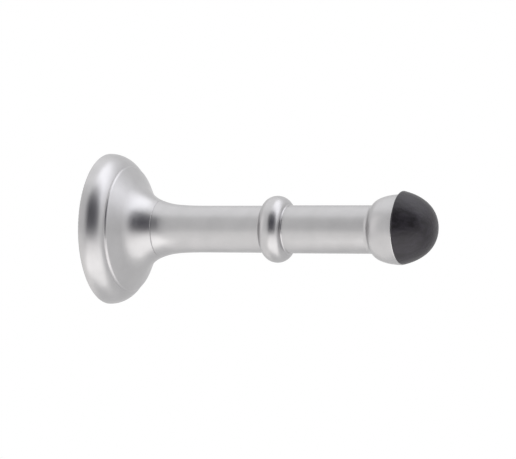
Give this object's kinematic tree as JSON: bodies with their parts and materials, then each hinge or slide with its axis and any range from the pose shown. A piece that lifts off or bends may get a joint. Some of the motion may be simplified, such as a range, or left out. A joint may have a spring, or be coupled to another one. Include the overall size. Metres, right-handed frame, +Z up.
{
  "type": "concealed fix door stop",
  "caption": "Wall-mounted door stop: bell-shaped rose with hidden fixing plate, turned stem with a ring and end cup, and a domed rubber buffer.",
  "frame": {"origin": "centre of the back face, on the wall", "axes": "+X out of the wall along the stem, towards the buffer; +Z up"},
  "size_m": [0.1102, 0.048, 0.048],
  "materials": {
    "satin_chrome": "satin chrome plate on cast and turned metal",
    "rubber": "matte moulded rubber",
    "zinc_plated_steel": "bright zinc plate"
  },
  "bodies": {
    "root": {"rose": "satin_chrome", "stem": "satin_chrome", "buffer": "rubber", "fixing_plate": "zinc_plated_steel", "fixing_stud": "zinc_plated_steel"}
  },
  "joints": []
}
